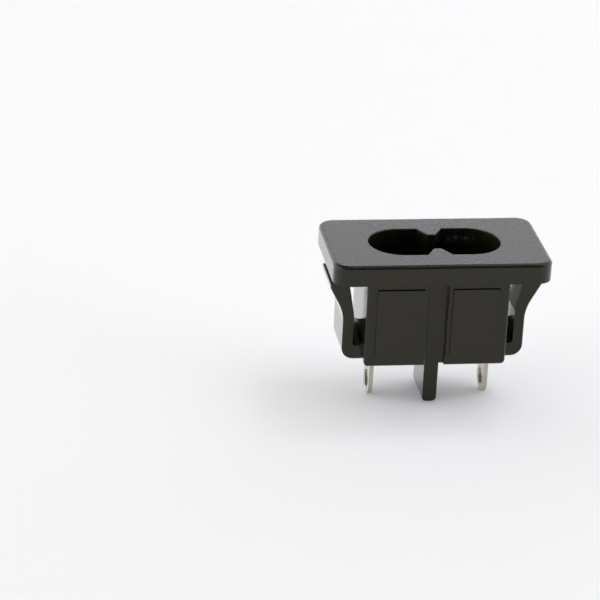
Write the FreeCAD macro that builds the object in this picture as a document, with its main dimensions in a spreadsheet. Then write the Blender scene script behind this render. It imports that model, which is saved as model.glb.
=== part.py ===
import FreeCAD, Part
import os
import re

import Sketcher

# Snap-in panel inlet with a two-pole figure-8 receptacle, in millimetres.
# +Z points out of the front face, +X runs along the flange's long side. Z = 0 is the plane on which the part
# stands when it is set down on its rear fin and solder lugs.

SIZES = {
    # Flange
    "flange_width": 28.0,
    "flange_depth": 16.0,
    "flange_thickness": 2.65,
    "flange_corner_radius": 2.0,
    "flange_edge_round": 0.5,
    # Body: two blocks with a waist between them
    "body_width": 18.4,
    "body_depth": 10.2,
    "body_drop": 12.45,
    "body_corner_round": 0.55,
    "body_edge_round": 0.3,
    "waist_width": 2.5,
    "waist_recess": 0.8,
    # Raised panel on the front of each block
    "panel_width": 6.05,
    "panel_height": 9.1,
    "panel_rise": 0.25,
    "panel_spacing": 9.75,
    "panel_drop": 1.85,
    # Low ribs on the back of each block
    "rib_width": 0.83,
    "rib_length": 3.0,
    "rib_height": 1.2,
    "rib_rise": 0.6,
    "rib_inner_spacing": 8.4,
    "rib_outer_spacing": 12.3,
    # Receptacle
    "pin_spacing": 8.6,
    "lobe_radius": 4.25,
    "receptacle_depth": 13.2,
    "notch_base_width": 3.26,
    "notch_tip_width": 1.0,
    "notch_depth": 2.03,
    "notch_tip_round": 0.4,
    "rim_round": 0.15,
    "boss_diameter": 5.5,
    "boss_height": 0.6,
    # Snap arms
    "slot_width": 1.27,
    "arm_thickness": 1.35,
    "arm_depth": 7.0,
    "arm_front": 3.15,
    "web_depth": 6.3,
    "arm_corner_radius": 1.5,
    "arm_bend_radius": 5.5,
    "arm_head_spread": 27.3,
    "arm_head_top_gap": 1.8,
    "arm_head_land": 0.5,
    "arm_head_thickness": 2.43,
    "arm_flare_drop": 5.7,
    "arm_inner_flare_drop": 5.85,
    "root_rise": 0.25,
    "root_thickness": 1.85,
    "root_ramp": 0.95,
    "root_fillet": 0.45,
    "arm_edge_bevel": 0.12,
    # Barrier fin
    "fin_thickness": 1.86,
    "fin_depth": 6.6,
    "fin_drop": 6.0,
    "fin_end_round": 0.6,
    "fin_edge_bevel": 0.12,
    # Solder lugs
    "lug_spacing": 15.1,
    "lug_thickness": 0.55,
    "lug_width": 3.9,
    "lug_bend_radius": 0.3,
    "lug_base_overhang": 1.9,
    "eyelet_diameter": 2.3,
    "eyelet_rise": 2.05,
    "terminal_recess": 0.4,
    "terminal_clearance": 0.15,
    # Contact pins
    "pin_diameter": 2.4,
    "pin_tip_round": 1.1,
    "pin_tip_depth": 2.5,
    "collar_diameter": 3.2,
    "collar_height": 0.5,
    "tail_diameter": 1.8,
    "tail_clearance": 0.02,
    "rivet_diameter": 3.0,
    "rivet_height": 0.6,
    "rivet_bevel": 0.3,
}

# Levels, from the plane on which the part stands
REAR_FACE = "fin_drop"
FLANGE_BACK = "fin_drop + body_drop"
FRONT_FACE = "fin_drop + body_drop + flange_thickness"
RECEPTACLE_FLOOR = f"({FRONT_FACE} - receptacle_depth)"
BOSS_TOP = f"({RECEPTACLE_FLOOR} + boss_height)"
TERMINAL_SEAT = "(fin_drop + terminal_recess)"
ROOT_BOTTOM = "(fin_drop + root_rise)"
ROOT_TOP = "(fin_drop + root_rise + root_thickness)"
RAMP_TOP = "(fin_drop + root_rise + root_thickness + root_ramp)"

# Distances from the middle plane, along X
BODY_SIDE = "body_width / 2"
ARM_INSIDE = "(body_width / 2 + slot_width)"
ARM_OUTSIDE = "(body_width / 2 + slot_width + arm_thickness)"
HEAD_OUTSIDE = "arm_head_spread / 2"

# Marks a corner after which the outline runs on as a half circle, bowed outward
HALF_CIRCLE = "half circle"

MATCH = 1e-4

doc = FreeCAD.newDocument("panel_inlet")
sheet = doc.addObject("Spreadsheet::Sheet", "Sizes")
for row, (alias, value) in enumerate(SIZES.items(), 1):
    sheet.set(f"A{row}", alias)
    sheet.set(f"B{row}", str(value))
    sheet.setAlias(f"B{row}", alias)
doc.recompute()


def sized(text):
    """The expression with each size named as a cell of the sheet."""
    return re.sub(r"[a-z_]{2,}", lambda found: f"Sizes.{found.group()}", text)


def measure(text):
    """The expression's value in millimetres."""
    return float(sheet.evalExpression(sized(text)))


def settle(feature):
    """Recompute, and stop where the feature does not come out whole."""
    doc.recompute()
    if {"Invalid", "Error"} & set(feature.State) or not feature.Shape.isValid():
        raise RuntimeError(f"{feature.Name} failed")
    return feature


def new_body(name):
    body = doc.addObject("PartDesign::Body", name)
    body.Label = name
    return body


def origin_plane(body, role):
    return next(f for f in body.Origin.OriginFeatures if f.Role == role)


def new_sketch(body, name, role, offset="0"):
    """A sketch on one of the body's origin planes, moved along that plane's normal."""
    sketch = body.newObject("Sketcher::SketchObject", name)
    sketch.AttachmentSupport = [(origin_plane(body, role), "")]
    sketch.MapMode = "FlatFace"
    sketch.setExpression("AttachmentOffset.Base.z", sized(offset))
    return sketch


def fix(sketch, kind, geometry, point, text):
    """Hold one coordinate of a point of the sketch at a size."""
    value = measure(text)
    if abs(value) < MATCH:
        axis = -2 if kind == "DistanceX" else -1
        sketch.addConstraint(Sketcher.Constraint("PointOnObject", geometry, point, axis))
        return
    index = sketch.addConstraint(Sketcher.Constraint(kind, -1, 1, geometry, point, value))
    sketch.setExpression(f"Constraints[{index}]", sized(text))


def draw_outline(sketch, corners):
    """A closed outline through the corners, anticlockwise. A marked corner starts a half circle."""
    spots = [FreeCAD.Vector(measure(x), measure(y), 0) for x, y, *_ in corners]
    ends = spots[1:] + spots[:1]
    sides = []
    for start, end, (_, _, *mark) in zip(spots, ends, corners):
        curve = Part.LineSegment(start, end)
        if mark:
            reach = (end - start).cross(FreeCAD.Vector(0, 0, 1)) / 2
            curve = Part.Arc(start, (start + end) / 2 + reach, end)
        sides.append(sketch.addGeometry(curve, False))
    for side, after in zip(sides, sides[1:] + sides[:1]):
        sketch.addConstraint(Sketcher.Constraint("Coincident", side, 2, after, 1))
    for side, (x, y, *_) in zip(sides, corners):
        fix(sketch, "DistanceX", side, 1, x)
        fix(sketch, "DistanceY", side, 1, y)
    for side, start, end, (x, y, *mark) in zip(sides, spots, ends, corners):
        if mark and abs(end.x - start.x) < abs(end.y - start.y):
            fix(sketch, "DistanceX", side, 3, x)
        elif mark:
            fix(sketch, "DistanceY", side, 3, y)


def draw_box(sketch, low_x, low_y, high_x, high_y):
    draw_outline(sketch, [(low_x, low_y), (high_x, low_y), (high_x, high_y), (low_x, high_y)])


def draw_circle(sketch, x, y, diameter):
    centre = FreeCAD.Vector(measure(x), measure(y), 0)
    circle = Part.Circle(centre, FreeCAD.Vector(0, 0, 1), measure(diameter) / 2)
    index = sketch.addGeometry(circle, False)
    fix(sketch, "DistanceX", index, 3, x)
    fix(sketch, "DistanceY", index, 3, y)
    held = sketch.addConstraint(Sketcher.Constraint("Diameter", index, measure(diameter)))
    sketch.setExpression(f"Constraints[{held}]", sized(diameter))


def pad(body, name, sketch, length, midplane=False):
    feature = body.newObject("PartDesign::Pad", name)
    feature.Profile = sketch
    feature.setExpression("Length", sized(length))
    if midplane:
        feature.SideType = "Symmetric"
    return settle(feature)


def pocket(body, name, sketch, length, reverse=False):
    before = body.Shape.Volume
    feature = body.newObject("PartDesign::Pocket", name)
    feature.Profile = sketch
    feature.Reversed = reverse
    feature.setExpression("Length", sized(length))
    settle(feature)
    if body.Shape.Volume >= before:
        raise RuntimeError(f"{name} removes nothing")


def mirror(body, name, features, role):
    feature = body.newObject("PartDesign::Mirrored", name)
    feature.Originals = features
    feature.MirrorPlane = (origin_plane(body, role), [""])
    body.Tip = feature
    settle(feature)


def straight_edges(body, axis, spots):
    """Names of the straight edges along an axis through the spots, on either side of the middle planes."""
    across = [i for i in range(3) if i != axis]
    wanted = [tuple(abs(measure(text)) for text in spot) for spot in spots]
    names = []
    for number, edge in enumerate(body.Shape.Edges, 1):
        if edge.Curve.TypeId != "Part::GeomLine":
            continue
        if abs(edge.tangentAt(edge.FirstParameter)[axis]) < 1 - MATCH:
            continue
        point = edge.CenterOfMass
        place = [abs(point[i]) for i in across]
        if any(all(abs(a - b) < MATCH for a, b in zip(place, spot)) for spot in wanted):
            names.append(f"Edge{number}")
    return names


def level_edges(body, level, keep):
    """Names of the edges that lie at one level, where keep accepts the edge's middle point."""
    height = measure(level)
    return [
        f"Edge{number}"
        for number, edge in enumerate(body.Shape.Edges, 1)
        if abs(edge.BoundBox.ZMin - height) < MATCH
        and abs(edge.BoundBox.ZMax - height) < MATCH
        and keep(edge.valueAt((edge.FirstParameter + edge.LastParameter) / 2))
    ]


def joining_edges(body, start, end):
    """Names of the straight edges from one spot to another, on either side of the middle plane."""
    wanted = sorted((abs(measure(x)), measure(y), measure(z)) for x, y, z in (start, end))
    names = []
    for number, edge in enumerate(body.Shape.Edges, 1):
        places = sorted((abs(v.X), v.Y, v.Z) for v in edge.Vertexes)
        gaps = [abs(a - b) for place, spot in zip(places, wanted) for a, b in zip(place, spot)]
        if len(places) == 2 and max(gaps) < MATCH:
            names.append(f"Edge{number}")
    return names


def circles_at(body, level, diameter):
    """Names of the circular edges of one diameter at one level."""
    height = measure(level)
    radius = measure(diameter) / 2
    return [
        f"Edge{number}"
        for number, edge in enumerate(body.Shape.Edges, 1)
        if edge.Curve.TypeId == "Part::GeomCircle"
        and abs(edge.Curve.Radius - radius) < MATCH
        and abs(edge.Curve.Center.z - height) < MATCH
    ]


def treat_edges(body, kind, field, name, size, edges):
    if not edges:
        raise RuntimeError(f"{name} finds no edge")
    base = body.Tip
    feature = body.newObject(kind, name)
    feature.Base = (base, edges)
    feature.setExpression(field, sized(size))
    settle(feature)


def round_edges(body, name, radius, edges):
    treat_edges(body, "PartDesign::Fillet", "Radius", name, radius, edges)


def bevel_edges(body, name, width, edges):
    treat_edges(body, "PartDesign::Chamfer", "Size", name, width, edges)


def add_body_blocks(body):
    """The body's block with rounded rear corners, and the waist cut into its front and back."""
    profile = new_sketch(body, "BlockProfile", "XZ_Plane")
    draw_box(profile, f"-{BODY_SIDE}", REAR_FACE, BODY_SIDE, FLANGE_BACK)
    pad(body, "Block", profile, "body_depth", midplane=True)
    corners = straight_edges(body, 1, [(BODY_SIDE, REAR_FACE)])
    round_edges(body, "BlockCorners", "body_corner_round", corners)
    waist = new_sketch(body, "WaistOutline", "XY_Plane", FLANGE_BACK)
    half = "waist_width / 2"
    face = "body_depth / 2"
    floor = "(body_depth / 2 - waist_recess)"
    draw_box(waist, f"-{half}", floor, half, face)
    draw_box(waist, f"-{half}", f"-{face}", half, f"-{floor}")
    pocket(body, "Waist", waist, "body_drop")


def add_flange(body):
    outline = new_sketch(body, "FlangeOutline", "XY_Plane", FLANGE_BACK)
    side = "flange_width / 2"
    face = "flange_depth / 2"
    draw_box(outline, f"-{side}", f"-{face}", side, face)
    pad(body, "Flange", outline, "flange_thickness")
    round_edges(body, "FlangeCorners", "flange_corner_radius", straight_edges(body, 2, [(side, face)]))
    rim = level_edges(body, FRONT_FACE, lambda point: True)
    round_edges(body, "FlangeEdge", "flange_edge_round", rim)


def round_blocks(body):
    """Soften the upright edges of the two blocks."""
    face = "body_depth / 2"
    upright = straight_edges(body, 2, [(BODY_SIDE, face), ("waist_width / 2", face)])
    round_edges(body, "BlockEdges", "body_edge_round", upright)


def add_arms(body):
    """One snap arm with the web that roots it in the body, and the same on the other side."""
    front = "-arm_front"
    back = "(arm_depth - arm_front)"
    web_back = "(web_depth - arm_front)"
    web_profile = new_sketch(body, "WebProfile", "YZ_Plane", BODY_SIDE)
    draw_outline(
        web_profile,
        [(front, ROOT_BOTTOM), (web_back, ROOT_BOTTOM), (web_back, RAMP_TOP), (front, ROOT_TOP)],
    )
    web = pad(body, "Web", web_profile, "slot_width")
    profile = new_sketch(body, "ArmProfile", "XZ_Plane", "arm_front - arm_depth / 2")
    flare = f"({FLANGE_BACK} - arm_flare_drop)"
    head_top = f"({FLANGE_BACK} - arm_head_top_gap)"
    draw_outline(
        profile,
        [
            (ARM_INSIDE, ROOT_BOTTOM),
            (ARM_OUTSIDE, ROOT_BOTTOM),
            (ARM_OUTSIDE, flare),
            (HEAD_OUTSIDE, f"({head_top} - arm_head_land)"),
            (HEAD_OUTSIDE, head_top),
            (f"({HEAD_OUTSIDE} - arm_head_thickness)", head_top),
            (ARM_INSIDE, f"({FLANGE_BACK} - arm_inner_flare_drop)"),
        ],
    )
    arm = pad(body, "Arm", profile, "arm_depth", midplane=True)
    mirror(body, "Arms", [web, arm], "YZ_Plane")
    corners = straight_edges(body, 1, [(ARM_OUTSIDE, ROOT_BOTTOM)])
    round_edges(body, "ArmCorners", "arm_corner_radius", corners)
    bends = straight_edges(body, 1, [(ARM_OUTSIDE, flare)])
    round_edges(body, "ArmBends", "arm_bend_radius", bends)
    roots = [
        name
        for side in (BODY_SIDE, ARM_INSIDE)
        for name in joining_edges(body, (side, front, ROOT_TOP), (side, web_back, RAMP_TOP))
    ]
    round_edges(body, "ArmRoots", "root_fillet", roots)
    upright = straight_edges(body, 2, [(ARM_OUTSIDE, front), (ARM_OUTSIDE, back)])
    bevel_edges(body, "ArmEdges", "arm_edge_bevel", upright)


def add_fin(body):
    profile = new_sketch(body, "FinProfile", "XZ_Plane")
    side = "fin_thickness / 2"
    draw_box(profile, f"-{side}", "0", side, REAR_FACE)
    pad(body, "Fin", profile, "fin_depth", midplane=True)
    round_edges(body, "FinEnd", "fin_end_round", straight_edges(body, 1, [(side, "0")]))
    bevel_edges(body, "FinEdges", "fin_edge_bevel", straight_edges(body, 2, [(side, "fin_depth / 2")]))


def add_receptacle(body):
    """The figure-8 hollow: round lobes about the pins, and a notch in each long side."""
    outline = new_sketch(body, "ReceptacleOutline", "XY_Plane", FRONT_FACE)
    lobe = "pin_spacing / 2"
    flat = "lobe_radius"
    base = "notch_base_width / 2"
    tip = "notch_tip_width / 2"
    tip_level = "(lobe_radius - notch_depth)"
    draw_outline(
        outline,
        [
            (lobe, f"-{flat}", HALF_CIRCLE),
            (lobe, flat),
            (base, flat),
            (tip, tip_level),
            (f"-{tip}", tip_level),
            (f"-{base}", flat),
            (f"-{lobe}", flat, HALF_CIRCLE),
            (f"-{lobe}", f"-{flat}"),
            (f"-{base}", f"-{flat}"),
            (f"-{tip}", f"-{tip_level}"),
            (tip, f"-{tip_level}"),
            (base, f"-{flat}"),
        ],
    )
    pocket(body, "Receptacle", outline, "receptacle_depth")
    round_edges(body, "NotchTips", "notch_tip_round", straight_edges(body, 2, [(tip, tip_level)]))
    mouth = FreeCAD.BoundBox()
    mouth.add(FreeCAD.Vector(measure("pin_spacing / 2 + lobe_radius"), measure(flat), measure(FRONT_FACE)))
    mouth.add(FreeCAD.Vector(-mouth.XMax, -mouth.YMax, mouth.ZMax))
    mouth.enlarge(MATCH)
    rim = level_edges(body, FRONT_FACE, mouth.isInside)
    round_edges(body, "ReceptacleRim", "rim_round", rim)
    bosses = new_sketch(body, "BossOutline", "XY_Plane", RECEPTACLE_FLOOR)
    holes = new_sketch(body, "TailHoleOutline", "XY_Plane", BOSS_TOP)
    for sign in ("", "-"):
        draw_circle(bosses, f"{sign}{lobe}", "0", "boss_diameter")
        draw_circle(holes, f"{sign}{lobe}", "0", "(tail_diameter + 2 * tail_clearance)")
    pad(body, "Bosses", bosses, "boss_height")
    pocket(body, "TailHoles", holes, f"{BOSS_TOP} - {REAR_FACE}")


def add_terminal_seats(body):
    """Shallow seats in the rear face that stop the terminals from turning."""
    seats = new_sketch(body, "SeatOutline", "XY_Plane", REAR_FACE)
    inner = "(pin_spacing / 2 - lug_base_overhang - terminal_clearance)"
    outer = "(lug_spacing / 2 + lug_thickness / 2 + terminal_clearance)"
    half = "(lug_width / 2 + terminal_clearance)"
    draw_box(seats, inner, f"-{half}", outer, half)
    draw_box(seats, f"-{outer}", f"-{half}", f"-{inner}", half)
    pocket(body, "TerminalSeats", seats, "terminal_recess", reverse=True)


def add_panels(body):
    """The raised panel on the front of each block."""
    outline = new_sketch(body, "PanelOutline", "XZ_Plane", "body_depth / 2")
    near = "(panel_spacing - panel_width) / 2"
    far = "(panel_spacing + panel_width) / 2"
    top = f"({FLANGE_BACK} - panel_drop)"
    bottom = f"({FLANGE_BACK} - panel_drop - panel_height)"
    draw_box(outline, near, bottom, far, top)
    draw_box(outline, f"-{far}", bottom, f"-{near}", top)
    pad(body, "Panels", outline, "panel_rise")


def add_ribs(body):
    """Two pairs of low ribs on the back, near the rear end."""
    outline = new_sketch(body, "RibOutline", "XY_Plane", "fin_drop + rib_rise")
    back = "body_depth / 2"
    crest = "(body_depth / 2 + rib_height)"
    for spacing in ("rib_inner_spacing", "rib_outer_spacing"):
        near = f"({spacing} - rib_width) / 2"
        far = f"({spacing} + rib_width) / 2"
        draw_box(outline, near, back, far, crest)
        draw_box(outline, f"-{far}", back, f"-{near}", crest)
    pad(body, "Ribs", outline, "rib_length")


def make_housing():
    body = new_body("housing")
    add_body_blocks(body)
    round_blocks(body)
    add_flange(body)
    add_arms(body)
    add_fin(body)
    add_receptacle(body)
    add_terminal_seats(body)
    add_panels(body)
    add_ribs(body)
    return body


def make_pin(name, sign):
    """A turned pin: rivet head, tail, collar and shank, with a domed tip."""
    body = new_body(name)
    half_section = new_sketch(body, "PinHalfSection", "XZ_Plane")
    rivet_top = f"({TERMINAL_SEAT} - lug_thickness)"
    rivet_bottom = f"({TERMINAL_SEAT} - lug_thickness - rivet_height)"
    collar_top = f"({BOSS_TOP} + collar_height)"
    tip = f"({FRONT_FACE} - pin_tip_depth)"
    draw_outline(
        half_section,
        [
            ("0", rivet_bottom),
            ("rivet_diameter / 2", rivet_bottom),
            ("rivet_diameter / 2", rivet_top),
            ("tail_diameter / 2", rivet_top),
            ("tail_diameter / 2", BOSS_TOP),
            ("collar_diameter / 2", BOSS_TOP),
            ("collar_diameter / 2", collar_top),
            ("pin_diameter / 2", collar_top),
            ("pin_diameter / 2", tip),
            ("0", tip),
        ],
    )
    turned = body.newObject("PartDesign::Revolution", "Turned")
    turned.Profile = half_section
    turned.ReferenceAxis = (half_section, ["V_Axis"])
    turned.Angle = 360
    settle(turned)
    round_edges(body, "Tip", "pin_tip_round", circles_at(body, tip, "pin_diameter"))
    bevel_edges(body, "RivetHead", "rivet_bevel", circles_at(body, rivet_bottom, "rivet_diameter"))
    body.setExpression("Placement.Base.x", sized(f"{sign}pin_spacing / 2"))
    return body


def make_lug(name, sign):
    """A bent terminal: a base under the receptacle's floor, and a blade with a round end and an eyelet."""
    body = new_body(name)
    half = "lug_width / 2"
    blade_inside = "(lug_spacing / 2 - lug_thickness / 2)"
    blade_outside = "(lug_spacing / 2 + lug_thickness / 2)"
    base_end = "(pin_spacing / 2 - lug_base_overhang)"
    base_bottom = f"({TERMINAL_SEAT} - lug_thickness)"
    base_outline = new_sketch(body, "BaseOutline", "XY_Plane", base_bottom)
    ends = [f"{sign}{base_end}", f"{sign}{blade_outside}"]
    low, high = sorted(ends, key=measure)
    draw_box(base_outline, low, f"-{half}", high, half)
    draw_circle(base_outline, f"{sign}pin_spacing / 2", "0", "(tail_diameter + 2 * tail_clearance)")
    pad(body, "Base", base_outline, "lug_thickness")
    start = min(f"{sign}{blade_inside}", f"{sign}{blade_outside}", key=measure)
    blade_outline = new_sketch(body, "BladeOutline", "YZ_Plane", start)
    draw_outline(
        blade_outline,
        [(f"-{half}", half, HALF_CIRCLE), (half, half), (half, TERMINAL_SEAT), (f"-{half}", TERMINAL_SEAT)],
    )
    draw_circle(blade_outline, "0", "eyelet_rise", "eyelet_diameter")
    pad(body, "Blade", blade_outline, "lug_thickness")
    outer = straight_edges(body, 1, [(blade_outside, TERMINAL_SEAT)])
    round_edges(body, "OuterBend", "(lug_bend_radius + lug_thickness)", outer)
    inner = straight_edges(body, 1, [(blade_inside, base_bottom)])
    round_edges(body, "InnerBend", "lug_bend_radius", inner)
    return body


os.makedirs("parts", exist_ok=True)
bodies = [make_housing()]
for side, sign in (("left", "-"), ("right", "")):
    bodies.append(make_pin(f"contact_pin_{side}", sign))
    bodies.append(make_lug(f"solder_lug_{side}", sign))
doc.recompute()

failed = [item.Name for item in doc.Objects if {"Invalid", "Error"} & set(item.State)]
if failed:
    raise RuntimeError(f"these features failed: {failed}")
for body in bodies:
    if body.Shape.isNull() or not body.Shape.isValid() or len(body.Shape.Solids) != 1:
        raise RuntimeError(f"{body.Label} is not one valid solid")
for body in bodies:
    body.Shape.exportStep(f"parts/{body.Label}.step")
    box = body.Shape.optimalBoundingBox()
    print(f"{body.Label}: {body.Shape.Volume:.2f} mm3, {len(body.Shape.Faces)} faces")
    print(f"  {box.XLength:.2f} by {box.YLength:.2f} by {box.ZLength:.2f} mm, from Z {box.ZMin:.2f}")
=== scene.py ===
import math

import bpy
from mathutils import Euler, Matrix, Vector


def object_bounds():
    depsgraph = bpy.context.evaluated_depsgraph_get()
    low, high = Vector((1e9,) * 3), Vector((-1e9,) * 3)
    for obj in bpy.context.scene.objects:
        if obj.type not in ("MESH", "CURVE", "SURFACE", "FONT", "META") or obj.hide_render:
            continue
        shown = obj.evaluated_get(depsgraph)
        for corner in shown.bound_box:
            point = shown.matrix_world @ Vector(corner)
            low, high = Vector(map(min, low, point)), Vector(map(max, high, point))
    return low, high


# Snap-in panel inlet: finishes, floor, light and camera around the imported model. Lengths are in metres.

MM = 0.001

# Camera: the photograph's own viewpoint
CAMERA_PLACE = Vector((-66.29, -306.56, 150.34)) * MM
CAMERA_TURN_DEG = (66.151, -2.503, -8.027)
CAMERA_SENSOR = 36.0
CAMERA_LENS = 159.287
CAMERA_NEAR = 0.01

# Floor
FLOOR_HALF = 1.5
FLOOR_COLOUR = (0.914, 0.92, 0.949)

# Light that falls on the part: a bright horizon behind and beside it, a weak fill above, and two lamps
HORIZON_LIGHT = 12.2
HORIZON_COLOUR = (0.91, 0.93, 1.0)
HORIZON_FADE = (0.22, 0.28)
FRONT_FADE = (-0.75, -0.40)
FILL_LIGHT = 0.52
FILL_COLOUR = (1.0, 0.95, 0.82)
LAMP_COLOUR = (0.93, 0.95, 1.0)
LAMP_AIM = (0, 0, 0.01)
SOFTBOX_PLACE = (0.38, 0, 0.815)
SOFTBOX_SIZE = 0.50
SOFTBOX_POWER = 0.92
KEY_PLACE = (0.32, 0.19, 0.82)
KEY_SIZE = 0.12
KEY_POWER = 0.39

# What the camera and the part's reflections see
WHITE = (1, 1, 1)
BACKDROP_COLOUR = (0.94, 0.965, 1.0)
BACKDROP_FADE = (0.50, 0.69)
ROOM_SEEN = 0.05

# Black plastic
PLASTIC_DARK = (0.0052, 0.0046, 0.0020)
PLASTIC_LIGHT = (0.0085, 0.0076, 0.0042)
PLASTIC = {"IOR": 1.50, "Specular Tint": (1.0, 0.96, 0.76, 1.0)}
CLOUD_SIZE = 4.0 * MM
SKIN_SIZE = 0.18 * MM
SKIN_DEPTH = 0.004 * MM

# Its polished walls. The flange is duller: its level is measured up from the front face.
POLISHED = {"Specular IOR Level": 0.26, "Coat Weight": 1.0, "Coat IOR": 1.25, "Coat Roughness": 0.09}
POLISHED_ROUGHNESS = 0.13
CLOUD_ROUGHNESS = 0.06
SCUFF_SIZE = 0.25 * MM
SCUFF_STRETCH = (1.0, 1.0, 0.1)
SCUFF_FADE = (0.62, 0.75)
SCUFF_ROUGHNESS = 0.08
FLANGE_LEVEL = (-2.70 * MM, -2.60 * MM)
FLANGE_ROUGHNESS = 0.12
FLANGE_SKIN = 2

# Its grained front. The grain ends where the flange's edge turns down.
GRAINED = {"Specular IOR Level": 0.34, "Coat IOR": 1.45, "Coat Roughness": 0.30}
GRAIN_LEVEL = (-0.60 * MM, -0.48 * MM)
GRAIN_SLOPE = (0.02, 0.35)
GRAIN_CELL = 0.30 * MM
GRAIN_SMOOTHNESS = 0.5
GRAIN_SKIN = 0.4
GRAIN_DEPTH = 0.036 * MM
GRAIN_ROUGHNESS = 0.27
GRAIN_ROUGHNESS_FINE = 0.2
PATCH_SIZE = 1.0 * MM
PATCH_ROUGHNESS = 0.06
PATCH_COAT = 0.2
GRAIN_COAT = 0.65

# Bright plate on the pins
NICKEL_DARK = (0.60, 0.585, 0.55)
NICKEL_LIGHT = (0.74, 0.725, 0.69)
NICKEL_ROUGHNESS = 0.12
NICKEL_CLOUD_SIZE = 0.9 * MM
NICKEL_CLOUD_ROUGHNESS = 0.06
RING_PITCH = 0.06 * MM
RING_DEPTH = 0.0015 * MM
RING_ROUGHNESS = 0.08

# Tin plate on the lugs
TIN_DARK = (0.45, 0.425, 0.34)
TIN_LIGHT = (0.58, 0.56, 0.475)
TIN_ROUGHNESS = 0.28
TIN_DEPTH = 0.003 * MM
TIN_CLOUD_SIZE = 1.1 * MM
TIN_CLOUD_ROUGHNESS = 0.16
TIN_CLOUD_HEIGHT = 0.6
LINE_SIZE = 0.09 * MM
LINE_STRETCH = (1.0, 1.0, 0.12)
LINE_ROUGHNESS = 0.06

# Mean of a noise, and the sockets of a Mix node's colours, whose names repeat
NOISE_MEAN = 0.5
MIX_SHARE = 0
MIX_FIRST = 6
MIX_SECOND = 7
MIX_RESULT = 2


class Wire:
    """An output socket of a finish. Python's operators on it add Math nodes."""

    def __init__(self, finish, socket):
        self.finish = finish
        self.socket = socket

    def math(self, operation, first, second):
        return self.finish.node("ShaderNodeMath", {"operation": operation}, {0: first, 1: second})

    def __add__(self, other):
        return self.math("ADD", self, other)

    def __radd__(self, other):
        return self.math("ADD", other, self)

    def __sub__(self, other):
        return self.math("SUBTRACT", self, other)

    def __rsub__(self, other):
        return self.math("SUBTRACT", other, self)

    def __mul__(self, other):
        return self.math("MULTIPLY", self, other)

    def __rmul__(self, other):
        return self.math("MULTIPLY", other, self)

    def __or__(self, other):
        return self.math("MAXIMUM", self, other)

    def rise(self, low, high):
        """0 below low, 1 above high, and a smooth step between them."""
        sockets = {"Value": self, "From Min": low, "From Max": high}
        return self.finish.node("ShaderNodeMapRange", {"interpolation_type": "SMOOTHSTEP"}, sockets)


class Finish:
    """One node tree. Its node method adds any node, with settings and with values or links for sockets."""

    def __init__(self, tree):
        self.tree = tree
        tree.nodes.clear()

    def node(self, kind, settings, sockets, output=0):
        node = self.tree.nodes.new(kind)
        for name, value in settings.items():
            setattr(node, name, value)
        for name, value in sockets.items():
            if isinstance(value, Wire):
                self.tree.links.new(value.socket, node.inputs[name])
            else:
                node.inputs[name].default_value = value
        return Wire(self, node.outputs[output]) if node.outputs else None

    def coordinate(self, name):
        return self.node("ShaderNodeTexCoord", {}, {}, name)

    def ray(self, name):
        return self.node("ShaderNodeLightPath", {}, {}, name)

    def part(self, vector, axis):
        return self.node("ShaderNodeSeparateXYZ", {}, {"Vector": vector}, axis)

    def noise(self, vector, size, detail):
        """Cloudy noise with features of the given size, from 0 to 1."""
        return self.node("ShaderNodeTexNoise", {}, {"Vector": vector, "Scale": 1 / size, "Detail": detail})

    def stretch(self, vector, scale):
        return self.node("ShaderNodeMapping", {}, {"Vector": vector, "Scale": scale})

    def blend(self, share, first, second):
        """A colour between two colours, each a tuple or another blend."""
        colours = [colour if isinstance(colour, Wire) else (*colour, 1) for colour in (first, second)]
        sockets = {MIX_SHARE: share, MIX_FIRST: colours[0], MIX_SECOND: colours[1]}
        return self.node("ShaderNodeMix", {"data_type": "RGBA"}, sockets, MIX_RESULT)

    def bump(self, height, depth):
        return self.node("ShaderNodeBump", {}, {"Strength": 1.0, "Distance": depth, "Height": height})

    def surface(self, sockets):
        return self.node("ShaderNodeBsdfPrincipled", {}, sockets)

    def output(self, shader):
        self.node("ShaderNodeOutputMaterial", {}, {"Surface": shader})


def new_finish(name):
    material = bpy.data.materials.new(name)
    material.use_nodes = True
    return material, Finish(material.node_tree)


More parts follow.
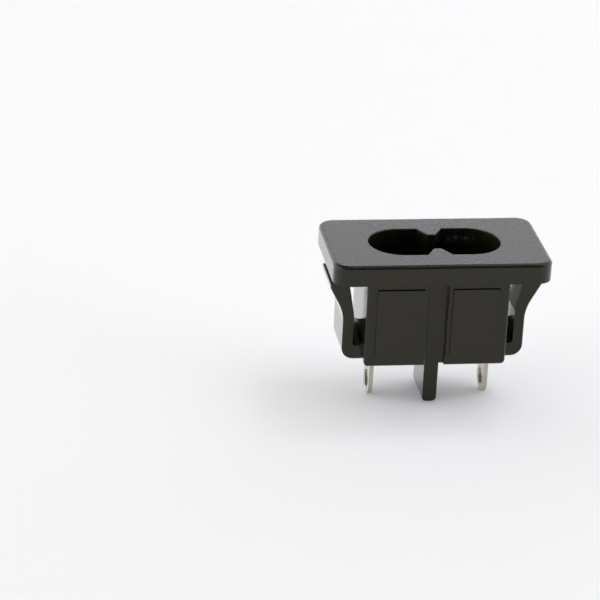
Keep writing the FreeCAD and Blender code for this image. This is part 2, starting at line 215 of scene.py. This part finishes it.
def moulded_black(front_face):
    """Black thermoplastic: polished walls with faint scuffs, and a leather-like grain on the front face."""
    material, finish = new_finish("moulded_black")
    place = finish.coordinate("Object")
    level = finish.part(place, "Z") - front_face
    facing = finish.part(finish.coordinate("Normal"), "Z")
    front = level.rise(*GRAIN_LEVEL) * facing.rise(*GRAIN_SLOPE)
    flange = level.rise(*FLANGE_LEVEL)
    cells = finish.node(
        "ShaderNodeTexVoronoi",
        {"feature": "SMOOTH_F1"},
        {"Vector": place, "Scale": 1 / GRAIN_CELL, "Smoothness": GRAIN_SMOOTHNESS},
    )
    skin = finish.noise(place, SKIN_SIZE, detail=3.0)
    cloud = finish.noise(place, CLOUD_SIZE, detail=2.0)
    patches = finish.noise(place, PATCH_SIZE, detail=3.0)
    scuffs = finish.noise(finish.stretch(place, SCUFF_STRETCH), SCUFF_SIZE, detail=2.0).rise(*SCUFF_FADE)
    colour = finish.blend(cloud, PLASTIC_DARK, PLASTIC_LIGHT)
    dulled = scuffs * SCUFF_ROUGHNESS + flange * FLANGE_ROUGHNESS
    polished = finish.surface(
        {
            **PLASTIC,
            **POLISHED,
            "Base Color": colour,
            "Roughness": POLISHED_ROUGHNESS + (cloud - NOISE_MEAN) * CLOUD_ROUGHNESS + dulled,
            "Normal": finish.bump(skin * (1 + flange * FLANGE_SKIN), SKIN_DEPTH),
        }
    )
    mottle = (skin - NOISE_MEAN) * GRAIN_ROUGHNESS_FINE + (patches - NOISE_MEAN) * PATCH_ROUGHNESS
    grained = finish.surface(
        {
            **PLASTIC,
            **GRAINED,
            "Base Color": colour,
            "Roughness": GRAIN_ROUGHNESS + mottle,
            "Coat Weight": GRAIN_COAT + patches * PATCH_COAT,
            "Normal": finish.bump(cells + skin * GRAIN_SKIN, GRAIN_DEPTH),
        }
    )
    finish.output(finish.node("ShaderNodeMixShader", {}, {0: front, 1: polished, 2: grained}))
    return material


def bright_nickel():
    """Plated and turned pin: faint rings round its axis."""
    material, finish = new_finish("bright_nickel")
    place = finish.coordinate("Object")
    turns = finish.part(place, "Z") * (1 / RING_PITCH)
    rings = finish.node("ShaderNodeTexNoise", {"noise_dimensions": "1D"}, {"W": turns, "Detail": 2.0})
    cloud = finish.noise(place, NICKEL_CLOUD_SIZE, detail=3.0)
    shader = finish.surface(
        {
            "Base Color": finish.blend(cloud, NICKEL_DARK, NICKEL_LIGHT),
            "Metallic": 1.0,
            "Roughness": NICKEL_ROUGHNESS + rings * RING_ROUGHNESS + cloud * NICKEL_CLOUD_ROUGHNESS,
            "Normal": finish.bump(rings, RING_DEPTH),
        }
    )
    finish.output(shader)
    return material


def tinned_brass():
    """Stamped lug, dip-tinned: a cloudy satin skin with fine drawing lines along the strip."""
    material, finish = new_finish("tinned_brass")
    place = finish.coordinate("Object")
    lines = finish.noise(finish.stretch(place, LINE_STRETCH), LINE_SIZE, detail=2.0)
    cloud = finish.noise(place, TIN_CLOUD_SIZE, detail=4.0)
    shader = finish.surface(
        {
            "Base Color": finish.blend(cloud, TIN_DARK, TIN_LIGHT),
            "Metallic": 1.0,
            "Roughness": TIN_ROUGHNESS + cloud * TIN_CLOUD_ROUGHNESS + lines * LINE_ROUGHNESS,
            "Normal": finish.bump(lines + cloud * TIN_CLOUD_HEIGHT, TIN_DEPTH),
        }
    )
    finish.output(shader)
    return material


def dress(node, material):
    """Give a CAD node its finish."""
    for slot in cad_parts[node].material_slots:
        slot.material = material


def add_floor():
    material, finish = new_finish("studio_floor")
    finish.output(finish.node("ShaderNodeBsdfDiffuse", {}, {"Color": (*FLOOR_COLOUR, 1)}))
    mesh = bpy.data.meshes.new("studio_floor")
    corners = [(x * FLOOR_HALF, y * FLOOR_HALF, 0) for x, y in ((-1, -1), (1, -1), (1, 1), (-1, 1))]
    mesh.from_pydata(corners, [], [(0, 1, 2, 3)])
    mesh.materials.append(material)
    floor = bpy.data.objects.new("studio_floor", mesh)
    bpy.context.scene.collection.objects.link(floor)


def add_lamp(name, place, size, power):
    """A square lamp that points at the part."""
    lamp = bpy.data.lights.new(name, "AREA")
    lamp.shape = "SQUARE"
    lamp.size = size
    lamp.energy = power
    lamp.color = LAMP_COLOUR
    holder = bpy.data.objects.new(name, lamp)
    holder.location = place
    holder.rotation_euler = (Vector(LAMP_AIM) - Vector(place)).to_track_quat("-Z", "Y").to_euler()
    bpy.context.scene.collection.objects.link(holder)


def add_surround():
    """White to the camera. The horizon lights the part, which mirrors a white backdrop and a dark room."""
    world = bpy.data.worlds.new("studio")
    world.use_nodes = True
    bpy.context.scene.world = world
    finish = Finish(world.node_tree)
    direct = finish.ray("Is Camera Ray") | finish.ray("Is Transmission Ray")
    glossy = finish.ray("Is Glossy Ray")
    shown = direct | glossy
    direction = finish.coordinate("Generated")
    up = finish.part(direction, "Z")
    behind = finish.part(direction, "Y").rise(*FRONT_FADE)
    backdrop = (1 - up.rise(*BACKDROP_FADE)) * behind
    mirrored = ROOM_SEEN + backdrop * (1 - ROOM_SEEN)
    horizon = 1 - up.rise(*HORIZON_FADE)
    lit = (FILL_LIGHT + horizon * HORIZON_LIGHT) * behind
    light_colour = finish.blend(horizon, FILL_COLOUR, HORIZON_COLOUR)
    seen_colour = finish.blend(direct, BACKDROP_COLOUR, WHITE)
    colour = finish.blend(shown, light_colour, seen_colour)
    strength = direct + glossy * mirrored + (1 - shown) * lit
    light = finish.node("ShaderNodeBackground", {}, {"Color": colour, "Strength": strength})
    finish.node("ShaderNodeOutputWorld", {}, {"Surface": light})


def add_camera():
    lens = bpy.data.cameras.new("camera")
    lens.sensor_fit = "HORIZONTAL"
    lens.sensor_width = CAMERA_SENSOR
    lens.lens = CAMERA_LENS
    lens.clip_start = CAMERA_NEAR
    camera = bpy.data.objects.new("camera", lens)
    camera.location = CAMERA_PLACE
    camera.rotation_euler = Euler([math.radians(turn) for turn in CAMERA_TURN_DEG], "XYZ")
    bpy.context.scene.collection.objects.link(camera)
    bpy.context.scene.camera = camera


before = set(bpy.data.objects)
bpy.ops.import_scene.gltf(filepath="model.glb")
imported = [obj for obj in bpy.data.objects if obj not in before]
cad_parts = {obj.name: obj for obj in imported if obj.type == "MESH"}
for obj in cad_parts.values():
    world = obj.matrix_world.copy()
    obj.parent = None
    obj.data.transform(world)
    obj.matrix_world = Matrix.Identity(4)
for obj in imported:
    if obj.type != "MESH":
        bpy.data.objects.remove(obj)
cad_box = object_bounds()

bpy.context.scene.view_settings.view_transform = "Standard"
dress("housing", moulded_black(front_face=cad_box[1][2]))
nickel = bright_nickel()
tin = tinned_brass()
for side in ("left", "right"):
    dress(f"contact_pin_{side}", nickel)
    dress(f"solder_lug_{side}", tin)
add_floor()
add_surround()
add_lamp("side_softbox", SOFTBOX_PLACE, SOFTBOX_SIZE, SOFTBOX_POWER)
add_lamp("key_lamp", KEY_PLACE, KEY_SIZE, KEY_POWER)
add_camera()
